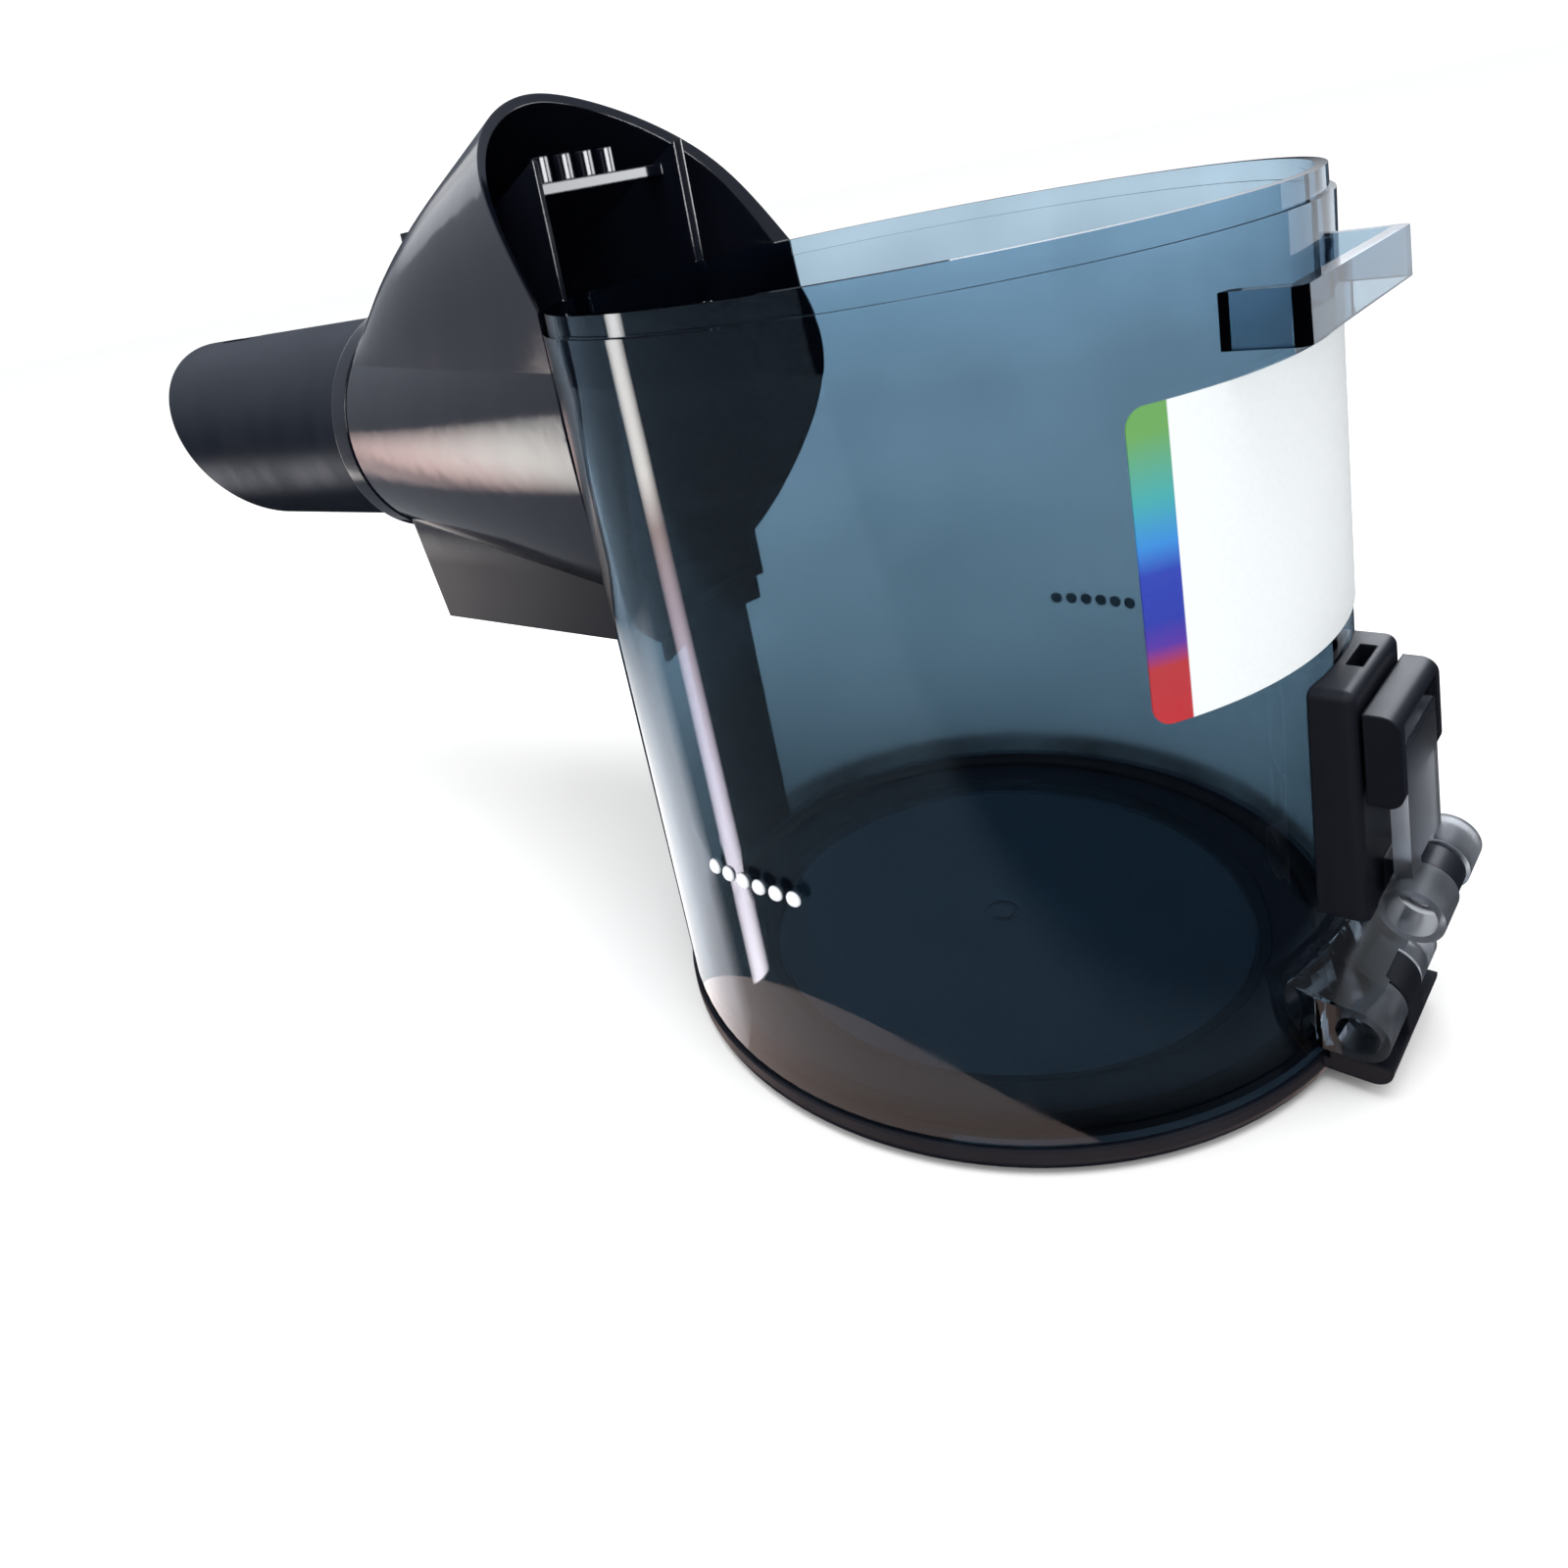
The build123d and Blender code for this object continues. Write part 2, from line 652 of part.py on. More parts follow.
# Inlet hood: scoop above a crease line, trough below it and keel, hollow and trimmed to the wall
with BuildPart() as inlet_hood:
    # Lug on top of the scoop
    with BuildSketch(inlet_flat(inlet_z + collar_r)):
        with Locations((lug_s, 0)):
            RectangleRounded(lug_length, 2 * lug_half_width, lug_length / 4)
    extrude(amount=lug_top_z - inlet_z - collar_r)

    for inset, mode in ((0, Mode.ADD), (hood_wall, Mode.SUBTRACT)):
        end_half = crease_collar_t - inset
        root_half = crease_root_t - inset
        trough_side = [(t - inset, crease_root_z - drop + inset / 2) for t, drop in trough_root[:-1]]
        trough_low_z = crease_root_z - trough_root[-1][1] + inset

        # Scoop, from the collar's upper arc to the arch
        for index in range(scoop_sections):
            section_s = collar_s + (root_s - collar_s) * index / (scoop_sections - 1)
            side_points = scoop_side(section_s, inset)
            left_points = [(-t, z) for t, z in side_points[:-1]]
            with BuildSketch(across_inlet(section_s)):
                with BuildLine():
                    Spline(*left_points, *reversed(side_points))
                    Line(side_points[0], left_points[0])
                make_face()
        loft(mode=mode)

        # Trough, from the collar's lower arc to the saddle
        with BuildSketch(across_inlet(collar_s)):
            with BuildLine():
                ThreePointArc(
                    (-end_half, crease_collar_z),
                    (0, inlet_z - collar_r + inset),
                    (end_half, crease_collar_z),
                )
                Line((end_half, crease_collar_z), (-end_half, crease_collar_z))
            make_face()
        with BuildSketch(across_inlet(root_s)):
            with BuildLine():
                Spline(
                    (-root_half, crease_root_z),
                    *[(-t, z) for t, z in trough_side],
                    (0, trough_low_z),
                    *reversed(trough_side),
                    (root_half, crease_root_z),
                )
                Line((root_half, crease_root_z), (-root_half, crease_root_z))
            make_face()
        loft(ruled=True, mode=mode)

        # Keel, a tapered box under the trough
        for keel_z, end_inset in ((keel_bottom_z + inset, keel_tip_inset), (keel_top_z, keel_shoulder_inset)):
            keel_end_s = collar_s - end_inset - inset
            with BuildSketch(inlet_flat(keel_z)) as keel:
                with BuildLine():
                    Polyline(
                        (root_s, -keel_root_half_width + inset),
                        (keel_end_s, -keel_tip_half_width + inset),
                        (keel_end_s, keel_tip_half_width - inset),
                        (root_s, keel_root_half_width - inset),
                        close=True,
                    )
                make_face()
                fillet(keel.vertices().sort_by(Axis.X)[:2], keel_fillet - inset)
        loft(ruled=True, mode=mode)
        if mode == Mode.ADD:
            hood_form = inlet_hood.part

    # Collar band and, inside it, the seat of the tube
    with BuildSketch(inlet_upright) as collar:
        with Locations((collar_s - collar_lap, inlet_z + collar_r + collar_lip)):
            Rectangle(collar_length + collar_lap, collar_wall + collar_lip, align=(Align.MIN, Align.MAX))
        collar_tip = collar.vertices().group_by(Axis((0, 0, 0), inlet_dir))[-1].sort_by(Axis.Z)[-1]
        fillet(collar_tip, collar_fillet)
        with Locations((tube_start_s, inlet_z + tube_insert_r + seat_gap)):
            Rectangle(collar_end_s - tube_start_s, collar_wall - hood_wall / 2, align=(Align.MIN, Align.MIN))
    revolve(axis=Axis((0, 0, inlet_z), inlet_dir))

    # Saddle: trimmed to the outside of the canister and on up to the arch
    add(wall_envelope.part, mode=Mode.SUBTRACT)

    # Ribs inside, from the keel's floor to a sloping top edge, and the toothed bar between them
    bar_s = can_top_r + seat_gap + bar_gap
    add(rib_plates.part & hood_form)
    with BuildSketch(inlet_flat(bar_top_z)):
        with Locations((bar_s, 0)):
            Rectangle(bar_depth, 2 * rib_middle_t, align=(Align.MIN, Align.CENTER))
    extrude(amount=-bar_thickness)
    with BuildSketch(inlet_flat(bar_top_z)):
        for index in range(tooth_count):
            with Locations((bar_s + bar_depth / 2, tooth_first_t + index * tooth_pitch)):
                Circle(tooth_r)
    extrude(amount=tooth_height)
inlet_hood.part.label = "inlet_hood"
export_step(inlet_hood.part, "parts/inlet_hood.step")


# Inlet tube: shoulder at the collar, slanted end, lock hole on top
with BuildPart() as inlet_tube:
    with BuildSketch(across_inlet(tube_start_s)):
        with Locations((0, inlet_z)):
            Circle(tube_insert_r)
    extrude(amount=tube_tip_s - tube_start_s)
    with BuildSketch(across_inlet(collar_end_s + seat_gap)):
        with Locations((0, inlet_z)):
            Circle(tube_r)
    extrude(amount=tube_length - seat_gap)
    with BuildSketch(across_inlet(tube_start_s)):
        with Locations((0, inlet_z)):
            Circle(tube_r - tube_wall)
    extrude(amount=tube_tip_s - tube_start_s, mode=Mode.SUBTRACT)
    slant_length = 2 * tube_r * tan(radians(tube_end_slope))
    with BuildSketch(inlet_upright):
        with BuildLine():
            Polyline(
                (tube_tip_s, inlet_z + tube_r),
                (tube_tip_s, inlet_z - tube_r),
                (tube_tip_s - slant_length, inlet_z - tube_r),
                close=True,
            )
        make_face()
    extrude(amount=tube_r, both=True, mode=Mode.SUBTRACT)
    with BuildSketch(inlet_flat(inlet_z)):
        with Locations((tube_tip_s - lock_hole_inset, 0)):
            SlotOverall(lock_hole_length, lock_hole_width)
    extrude(amount=tube_r, mode=Mode.SUBTRACT)
inlet_tube.part.label = "inlet_tube"
export_step(inlet_tube.part, "parts/inlet_tube.step")
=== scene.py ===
import math

import bmesh
import bpy
from mathutils import Matrix, Vector


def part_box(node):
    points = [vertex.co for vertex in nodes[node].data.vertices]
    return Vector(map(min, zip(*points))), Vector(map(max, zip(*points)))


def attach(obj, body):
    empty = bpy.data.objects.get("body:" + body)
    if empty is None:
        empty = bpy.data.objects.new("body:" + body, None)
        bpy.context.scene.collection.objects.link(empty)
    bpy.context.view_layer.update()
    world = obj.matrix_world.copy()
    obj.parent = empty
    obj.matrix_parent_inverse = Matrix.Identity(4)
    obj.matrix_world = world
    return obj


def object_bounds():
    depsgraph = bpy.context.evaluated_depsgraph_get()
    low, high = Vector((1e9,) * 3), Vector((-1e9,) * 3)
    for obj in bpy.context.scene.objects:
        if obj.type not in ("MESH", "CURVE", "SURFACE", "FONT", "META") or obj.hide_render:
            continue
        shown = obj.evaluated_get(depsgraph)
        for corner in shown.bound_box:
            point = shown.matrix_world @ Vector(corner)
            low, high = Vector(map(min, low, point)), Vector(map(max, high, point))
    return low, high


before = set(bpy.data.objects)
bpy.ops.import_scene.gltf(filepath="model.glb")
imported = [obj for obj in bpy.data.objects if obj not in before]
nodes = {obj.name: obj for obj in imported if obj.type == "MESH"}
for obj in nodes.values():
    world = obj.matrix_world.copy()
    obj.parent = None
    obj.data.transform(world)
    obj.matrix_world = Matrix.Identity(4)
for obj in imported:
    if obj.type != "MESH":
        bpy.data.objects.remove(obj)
cad_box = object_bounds()
MM = 0.001

# Camera, fitted to the photograph: angles in radians, eye in metres, focal length in image pixels.
IMAGE_SIDE = 1600
EYE = Vector((0.0807646, -0.1236691, 0.1047613))
YAW = 0.8371
PITCH = 0.2320
ROLL = -0.2087
FOCAL = 1191.1
CENTRE_X = 650
CENTRE_Y = 500
SENSOR_WIDTH = 36

# Where the clear plastic turns frosted: the hinge and lever barrels, from this far back and this high.
FROST_X = (44.3 * MM, 45.0 * MM)
FROST_Z = (36.0 * MM, 44.0 * MM)

# Where the hood's gloss ends: its keel is satin.
KEEL_SATIN_Z = (54.0 * MM, 60.0 * MM)

# Plastics: refraction, the softening of moulded edges, how much rougher a frosted or a satin zone is, and
# the height over which the clear plastic's tints, with the wall's painted shade and painted light, run.
CLEAR_IOR = 1.45
BLACK_IOR = 1.5
EDGE_ROUND = 0.35 * MM
FROST_ROUGH = 0.38
SATIN_ROUGH = 0.32
SMOKE_HEIGHT = 100 * MM

# Where the label's strip of colours ends, as an angle from the label's edge in radians.
STRIP_TURN = (0.098, 0.102)

# Rows of raised dots on the wall, in metres; the white caps over them are painted highlights.
DOT_COUNT = 6
DOT_PITCH = 2.4 * MM
DOT_X_MIDDLE = -2.9 * MM
DOT_Z = 30.8 * MM
DOT_WALL_R = 43.82 * MM
DOT_CAP_R = 0.92 * MM
DOT_CAP_HEIGHT = 0.68 * MM

# Studio: strength of the white surroundings, and what glossy faces see from straight down to overhead.
CUP_MIDDLE = Vector((-0.005, -0.044, 0.05))
SKY_STRENGTH = 1.12
ROOM_RISE = ((0.50, (0.015, 0.018, 0.030, 1)), (0.90, (0.60, 0.66, 0.76, 1)))

# Cards that glossy faces reflect: two ends, width, watts, the solids that see the card, and its tints
# from the first end to the second.
CARDS = {
    "wall_glow": (
        (-0.351, -0.236, -0.291), (-0.452, -0.275, 0.06), 0.08, 1.0, ("canister",),
        (
            (0.00, (0.95, 0.90, 1.0, 1)),
            (0.30, (0.75, 0.68, 0.82, 1)),
            (0.52, (0.50, 0.40, 0.46, 1)),
            (0.64, (0.42, 0.31, 0.29, 1)),
            (0.72, (1.0, 0.95, 0.90, 1)),
            (1.00, (1.0, 1.0, 1.0, 1)),
        ),
    ),
    "trough_glow": (
        (-0.575, -0.150, -0.05), (-0.435, -0.252, -0.05), 0.22, 0.85, ("inlet_hood",),
        (
            (0.00, (0.10, 0.08, 0.08, 1)),
            (0.22, (0.42, 0.30, 0.28, 1)),
            (0.32, (0.16, 0.11, 0.10, 1)),
            (0.45, (0.64, 0.43, 0.40, 1)),
            (0.62, (0.85, 0.67, 0.62, 1)),
            (0.80, (1.0, 0.96, 0.90, 1)),
        ),
    ),
    "hood_fill": (
        (-0.50, 0.10, 0.05), (-0.42, -0.46, 0.02), 0.75, 0.70, ("inlet_hood",),
        ((0.00, (0.9, 0.95, 1.0, 1)), (1.00, (0.80, 0.84, 1.0, 1))),
    ),
    "scoop_glow": (
        (-0.55, -0.06, 0.28), (-0.48, 0.16, 0.28), 0.16, 0.14, ("inlet_hood",),
        ((0.00, (0.7, 0.72, 0.78, 1)), (1.00, (1.0, 1.0, 1.0, 1))),
    ),
    "tube_glow": (
        (-0.62, -0.13, -0.16), (-0.48, -0.36, -0.16), 0.22, 0.55, ("inlet_tube",),
        ((0.00, (0.8, 0.8, 0.9, 1)), (1.00, (0.9, 0.88, 0.92, 1))),
    ),
    "mouth_glow": (
        (0.40, 0.27, 0.135), (0.08, 0.48, 0.135), 0.20, 2.5, ("inlet_hood",),
        ((0.00, (0.95, 0.97, 1.0, 1)), (1.00, (0.95, 0.97, 1.0, 1))),
    ),
    "teeth_glow": (
        (0.45, -0.28, 0.15), (0.45, 0.12, 0.15), 0.22, 6.0, ("inlet_hood",),
        ((0.00, (0.95, 0.97, 1.0, 1)), (1.00, (0.95, 0.97, 1.0, 1))),
    ),
    "latch_glow": (
        (-0.28, 0.42, 0.28), (0.18, 0.46, 0.28), 0.34, 1.9,
        ("latch_housing", "finger_tab", "release_lever", "canister"),
        ((0.00, (0.9, 0.94, 1.0, 1)), (1.00, (0.9, 0.94, 1.0, 1))),
    ),
    "limb_glow": (
        (-0.39, 0.17, -0.21), (-0.43, -0.165, -0.21), 0.24, 0.5, ("canister",),
        ((0.00, (1.0, 1.0, 1.0, 1)), (0.80, (0.9, 0.92, 1.0, 1)), (1.00, (0.0, 0.0, 0.0, 1))),
    ),
    "back_glow": (
        (0.02, 0.48, 0.0), (0.36, 0.46, 0.0), 0.25, 0.32, ("canister", "release_lever"),
        ((0.00, (0.9, 0.95, 1.0, 1)), (1.00, (0.9, 0.95, 1.0, 1))),
    ),
}

# Floor: radius, gap under the cup, where it fades out behind the cup, and its two pale tones.
FLOOR_R = 6.0
FLOOR_GAP = 0.0002
FLOOR_END_X = (0.046, 0.060)
FLOOR_TONES = ((0.95, 0.95, 0.95, 1), (0.98, 0.98, 0.98, 1))

# Warm ring of light under the cup, in metres.
TABLE_GLOW_MIDDLE = (-0.06, -0.0225, -0.30)
TABLE_GLOW_R = 0.3715
TABLE_GLOW_BAND = 0.10
TABLE_GLOW_TINT = (1.0, 0.78, 0.72, 1)
TABLE_GLOW_STRENGTH = 1.1

# Soft box overhead: side, place and aim in metres, watts.
TOP_BOX_SIDE = 0.6
TOP_BOX_PLACE = (0.1, -0.1, 0.9)
TOP_BOX_AIM = (0, 0, 0.05)
TOP_BOX_WATTS = 6

# Colours, linear.
# Wall tint over its height: the darkening towards the bottom is painted shade, and the lightening towards
# the top is painted light.
WALL_TINT_AND_PAINTED_LIGHT = (
    (0.060, (0.03, 0.035, 0.04, 1)),
    (0.075, (0.19, 0.26, 0.31, 1)),
    (0.10, (0.21, 0.29, 0.35, 1)),
    (0.45, (0.27, 0.365, 0.43, 1)),
    (0.68, (0.29, 0.39, 0.46, 1)),
    (0.84, (0.34, 0.46, 0.56, 1)),
    (0.94, (0.50, 0.67, 0.80, 1)),
)
PLATE_SMOKE = ((0.0, (0.30, 0.41, 0.49, 1)), (1.0, (0.30, 0.41, 0.49, 1)))
LEVER_SMOKE = ((0.0, (0.46, 0.51, 0.57, 1)), (1.0, (0.46, 0.51, 0.57, 1)))
FROSTED_SMOKE = (0.64, 0.67, 0.72, 1)
SMOKE_DEEP = (0.19, 0.27, 0.33, 1)
# White of the dot caps is a painted highlight; its worn tone is dust and smears.
DOT_HIGHLIGHT_WHITE = (0.88, 0.90, 0.92, 1)
DOT_HIGHLIGHT_WORN = (0.62, 0.64, 0.66, 1)
HOOD_BLACK = (0.004, 0.005, 0.010, 1)
HOOD_BLACK_WORN = (0.016, 0.016, 0.023, 1)
SATIN_BLACK = (0.005, 0.006, 0.011, 1)
SATIN_BLACK_WORN = (0.022, 0.023, 0.030, 1)
TUBE_GREY = (0.008, 0.011, 0.019, 1)
TUBE_GREY_WORN = (0.026, 0.030, 0.042, 1)
RUBBER = (0.010, 0.010, 0.011, 1)
RUBBER_DUSTY = (0.035, 0.034, 0.033, 1)
STEEL = (0.56, 0.56, 0.55, 1)
STEEL_DULL = (0.36, 0.36, 0.36, 1)
PAPER = (0.86, 0.89, 0.90, 1)
PAPER_SHADE = (0.78, 0.82, 0.84, 1)
LABEL_FIELDS = (
    (0.00, (0.50, 0.02, 0.03, 1)),
    (0.19, (0.46, 0.03, 0.04, 1)),
    (0.26, (0.09, 0.03, 0.36, 1)),
    (0.34, (0.02, 0.04, 0.40, 1)),
    (0.49, (0.02, 0.05, 0.44, 1)),
    (0.58, (0.03, 0.24, 0.66, 1)),
    (0.72, (0.05, 0.38, 0.40, 1)),
    (0.92, (0.14, 0.38, 0.10, 1)),
)


class Tree:
    """A node tree with short calls for adding nodes and links."""

    def __init__(self, tree):
        self.tree = tree

    def node(self, kind, **values):
        made = self.tree.nodes.new(kind)
        for name, value in values.items():
            setattr(made, name, value)
        return made

    def link(self, out, into):
        self.tree.links.new(out, into)

    def put(self, value, socket):
        """Links another socket to this one, or sets this one to a constant."""
        if isinstance(value, bpy.types.NodeSocket):
            self.link(value, socket)
        else:
            socket.default_value = value

    def math(self, operation, a, b):
        made = self.node("ShaderNodeMath", operation=operation)
        self.put(a, made.inputs[0])
        self.put(b, made.inputs[1])
        return made.outputs[0]

    def mix(self, factor, low, high):
        made = self.node("ShaderNodeMix", data_type="RGBA")
        for value, index in ((factor, 0), (low, 6), (high, 7)):
            self.put(value, made.inputs[index])
        return made.outputs[2]

    def axes(self, place):
        made = self.node("ShaderNodeSeparateXYZ")
        self.link(place, made.inputs[0])
        return made.outputs

    def noise(self, place, scale, detail):
        made = self.node("ShaderNodeTexNoise")
        self.link(place, made.inputs["Vector"])
        self.put(scale, made.inputs["Scale"])
        made.inputs["Detail"].default_value = detail
        return made.outputs["Fac"]

    def stretch(self, place, scale):
        made = self.node("ShaderNodeMapping")
        made.inputs["Scale"].default_value = scale
        self.link(place, made.inputs["Vector"])
        return made.outputs[0]

    def ramp(self, value, stops):
        """Colour ramp with the given stops, each a position and a colour."""
        made = self.node("ShaderNodeValToRGB")
        elements = made.color_ramp.elements
        elements.remove(elements[1])
        for i, (at, colour) in enumerate(stops):
            element = elements[0] if i == 0 else elements.new(at)
            element.position = at
            element.color = colour
        self.link(value, made.inputs[0])
        return made.outputs[0]

    def spread(self, value, from_low, from_high, to_low, to_high):
        made = self.node("ShaderNodeMapRange")
        self.link(value, made.inputs[0])
        for socket, number in zip(made.inputs[1:5], (from_low, from_high, to_low, to_high)):
            socket.default_value = number
        return made.outputs[0]


def shared_group(name, inputs, outputs):
    """An empty shader group with named sockets; gives its tree, its inputs and its outputs."""
    group = bpy.data.node_groups.new(name, "ShaderNodeTree")
    for socket, kind in inputs:
        group.interface.new_socket(name=socket, in_out="INPUT", socket_type=kind)
    for socket, kind in outputs:
        group.interface.new_socket(name=socket, in_out="OUTPUT", socket_type=kind)
    tree = Tree(group)
    return group, tree, tree.node("NodeGroupInput").outputs, tree.node("NodeGroupOutput").inputs


def make_moulded_grain():
    """Fine spark texture of a moulded face with the slow waves of its cooling."""
    group, tree, given, put = shared_group(
        "moulded_grain",
        (("Place", "NodeSocketVector"), ("Grain Size", "NodeSocketFloat"), ("Wave", "NodeSocketFloat")),
        (("Height", "NodeSocketFloat"), ("Patch", "NodeSocketFloat")),
    )
    per_metre = tree.math("DIVIDE", 1.0, given["Grain Size"])
    grain = tree.noise(given["Place"], per_metre, 3)
    wave = tree.noise(given["Place"], 60, 1)
    swell = tree.math("MULTIPLY", wave, given["Wave"])
    tree.link(tree.math("ADD", grain, swell), put["Height"])
    tree.link(tree.spread(wave, 0.3, 0.7, 0, 1), put["Patch"])
    return group


def make_handling_marks():
    """Smears that run down the wall, and small specks of dust."""
    group, tree, given, put = shared_group(
        "handling_marks",
        (("Place", "NodeSocketVector"), ("Smear", "NodeSocketFloat"), ("Specks", "NodeSocketFloat")),
        (("Mask", "NodeSocketFloat"), ("Dust", "NodeSocketFloat")),
    )
    streak = tree.noise(tree.stretch(given["Place"], (150, 150, 14)), 1, 4)
    smear = tree.spread(streak, 0.42, 0.72, 0, 1)
    tree.link(tree.math("MULTIPLY", smear, given["Smear"]), put["Mask"])
    speck = tree.node("ShaderNodeTexVoronoi")
    speck.inputs["Scale"].default_value = 420
    tree.link(given["Place"], speck.inputs["Vector"])
    spot = tree.spread(speck.outputs["Distance"], 0.05, 0.11, 1, 0)
    tree.link(tree.math("MULTIPLY", spot, given["Specks"]), put["Dust"])
    return group


MOULDED_GRAIN = make_moulded_grain()
HANDLING_MARKS = make_handling_marks()


def start_material(name):
    """A new material; gives it, its tree, its Principled shader and its Object coordinates."""
    material = bpy.data.materials.new(name)
    material.use_nodes = True
    tree = Tree(material.node_tree)
    shader = material.node_tree.nodes["Principled BSDF"]
    place = tree.node("ShaderNodeTexCoord").outputs["Object"]
    return material, tree, shader, place


def put_group(tree, group, place, **values):
    """Adds a shared group at a place and sets its other inputs; gives its outputs."""
    made = tree.node("ShaderNodeGroup", node_tree=group)
    tree.link(place, made.inputs["Place"])
    for name, value in values.items():
        made.inputs[name.replace("_", " ")].default_value = value
    return made.outputs


def put_relief(tree, shader, height, depth, strength, round_edge):
    """Bump from a height, over edges softened by a small radius where one is given."""
    bump = tree.node("ShaderNodeBump")
    bump.inputs["Strength"].default_value = strength
    bump.inputs["Distance"].default_value = depth
    tree.link(height, bump.inputs["Height"])
    if round_edge:
        edge = tree.node("ShaderNodeBevel", samples=6)
        edge.inputs["Radius"].default_value = round_edge
        tree.link(edge.outputs[0], bump.inputs["Normal"])
    tree.link(bump.outputs[0], shader.inputs["Normal"])


def moulded_plastic(name, colour, worn, rough, grain, relief, smear, round_edge=EDGE_ROUND, dull_below=None):
    """Opaque moulded plastic: grain, patchy gloss, handling smears and a little dust. Two heights in
    dull_below turn it satin below them."""
    material, tree, shader, place = start_material(name)
    grained = put_group(tree, MOULDED_GRAIN, place, Grain_Size=grain, Wave=0.5)
    marks = put_group(tree, HANDLING_MARKS, place, Smear=smear, Specks=0.35)
    lift = tree.math("MAXIMUM", tree.math("MULTIPLY", marks["Mask"], 0.5), marks["Dust"])
    tree.link(tree.mix(lift, colour, worn), shader.inputs["Base Color"])
    patchy = tree.spread(grained["Patch"], 0, 1, rough * 0.88, rough * 1.1)
    gloss = tree.math("ADD", patchy, tree.math("MULTIPLY", marks["Mask"], 0.12))
    if dull_below:
        satin = tree.spread(tree.axes(place)["Z"], *dull_below, SATIN_ROUGH, 0)
        gloss = tree.math("ADD", gloss, satin)
    tree.link(gloss, shader.inputs["Roughness"])
    shader.inputs["IOR"].default_value = BLACK_IOR
    put_relief(tree, shader, grained["Height"], relief, 0.5, round_edge)
    return material


def smoked_plastic(name, rough, smear, tints):
    """Clear smoked plastic that tints what is behind it, by its tints over the height, with faint smears
    down the wall and frosted barrels. On the wall the tints over the height also carry painted shade low
    down and painted light high up."""
    material, tree, shader, place = start_material(name)
    grained = put_group(tree, MOULDED_GRAIN, place, Grain_Size=40 * MM, Wave=1.0)
    marks = put_group(tree, HANDLING_MARKS, place, Smear=smear, Specks=0.0)
    axes = tree.axes(place)
    # The height ramp darkens the wall low down as painted shade and lightens it high up as painted light.
    tint_and_light = tree.ramp(tree.math("MULTIPLY", axes["Z"], 1 / SMOKE_HEIGHT), tints)
    cloud = tree.math("MULTIPLY", grained["Patch"], 0.3)
    clear = tree.mix(cloud, tint_and_light, SMOKE_DEEP)
    behind = tree.spread(axes["X"], *FROST_X, 0, 1)
    low_down = tree.spread(axes["Z"], *FROST_Z, 1, 0)
    frost = tree.math("MULTIPLY", behind, low_down)
    tree.link(tree.mix(frost, clear, FROSTED_SMOKE), shader.inputs["Base Color"])
    gloss = tree.math("ADD", tree.math("MULTIPLY", marks["Mask"], 0.035), rough)
    gloss = tree.math("ADD", gloss, tree.math("MULTIPLY", frost, FROST_ROUGH))
    tree.link(gloss, shader.inputs["Roughness"])
    shader.inputs["Transmission Weight"].default_value = 1.0
    shader.inputs["IOR"].default_value = CLEAR_IOR
    put_relief(tree, shader, grained["Height"], 0.02 * MM, 0.25, 0)
    return material


def rubber_finish(name):
    """Matt seal rubber with dust in its grain."""
    material, tree, shader, place = start_material(name)
    grained = put_group(tree, MOULDED_GRAIN, place, Grain_Size=0.25 * MM, Wave=0.2)
    marks = put_group(tree, HANDLING_MARKS, place, Smear=0.6, Specks=0.8)
    tree.link(tree.mix(marks["Dust"], RUBBER, RUBBER_DUSTY), shader.inputs["Base Color"])
    tree.link(tree.spread(grained["Patch"], 0, 1, 0.62, 0.78), shader.inputs["Roughness"])
    put_relief(tree, shader, grained["Height"], 0.03 * MM, 0.6, 0)
    return material


def drawn_steel(name, along):
    """Drawn wire and pin steel, with scratches along the given axis."""
    material, tree, shader, place = start_material(name)
    drawn = tree.stretch(place, [60 if i == along else 2600 for i in range(3)])
    scratch = tree.noise(drawn, 1, 3)
    tree.link(tree.mix(scratch, STEEL_DULL, STEEL), shader.inputs["Base Color"])
    tree.link(tree.spread(scratch, 0.3, 0.7, 0.22, 0.38), shader.inputs["Roughness"])
    shader.inputs["Metallic"].default_value = 1.0
    put_relief(tree, shader, scratch, 0.01 * MM, 0.4, 0)
    return material


def label_paper(name):
    """White printed paper with a strip of plain colour fields down one edge."""
    material, tree, shader, place = start_material(name)
    low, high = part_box("rear_label")
    axes = tree.axes(place)
    fields = tree.ramp(tree.spread(axes["Z"], low.z, high.z, 0, 1), LABEL_FIELDS)
    turn = tree.math("ARCTAN2", axes["Y"], axes["X"])
    edge = math.atan2(low.y, low.x)
    strip = tree.spread(turn, edge + STRIP_TURN[0], edge + STRIP_TURN[1], 1, 0)
    fibre = tree.noise(place, 1800, 4)
    white = tree.mix(fibre, PAPER_SHADE, PAPER)
    tree.link(tree.mix(strip, white, fields), shader.inputs["Base Color"])
    tree.link(tree.spread(fibre, 0.3, 0.7, 0.34, 0.5), shader.inputs["Roughness"])
    put_relief(tree, shader, fibre, 0.01 * MM, 0.3, 0)
    return material


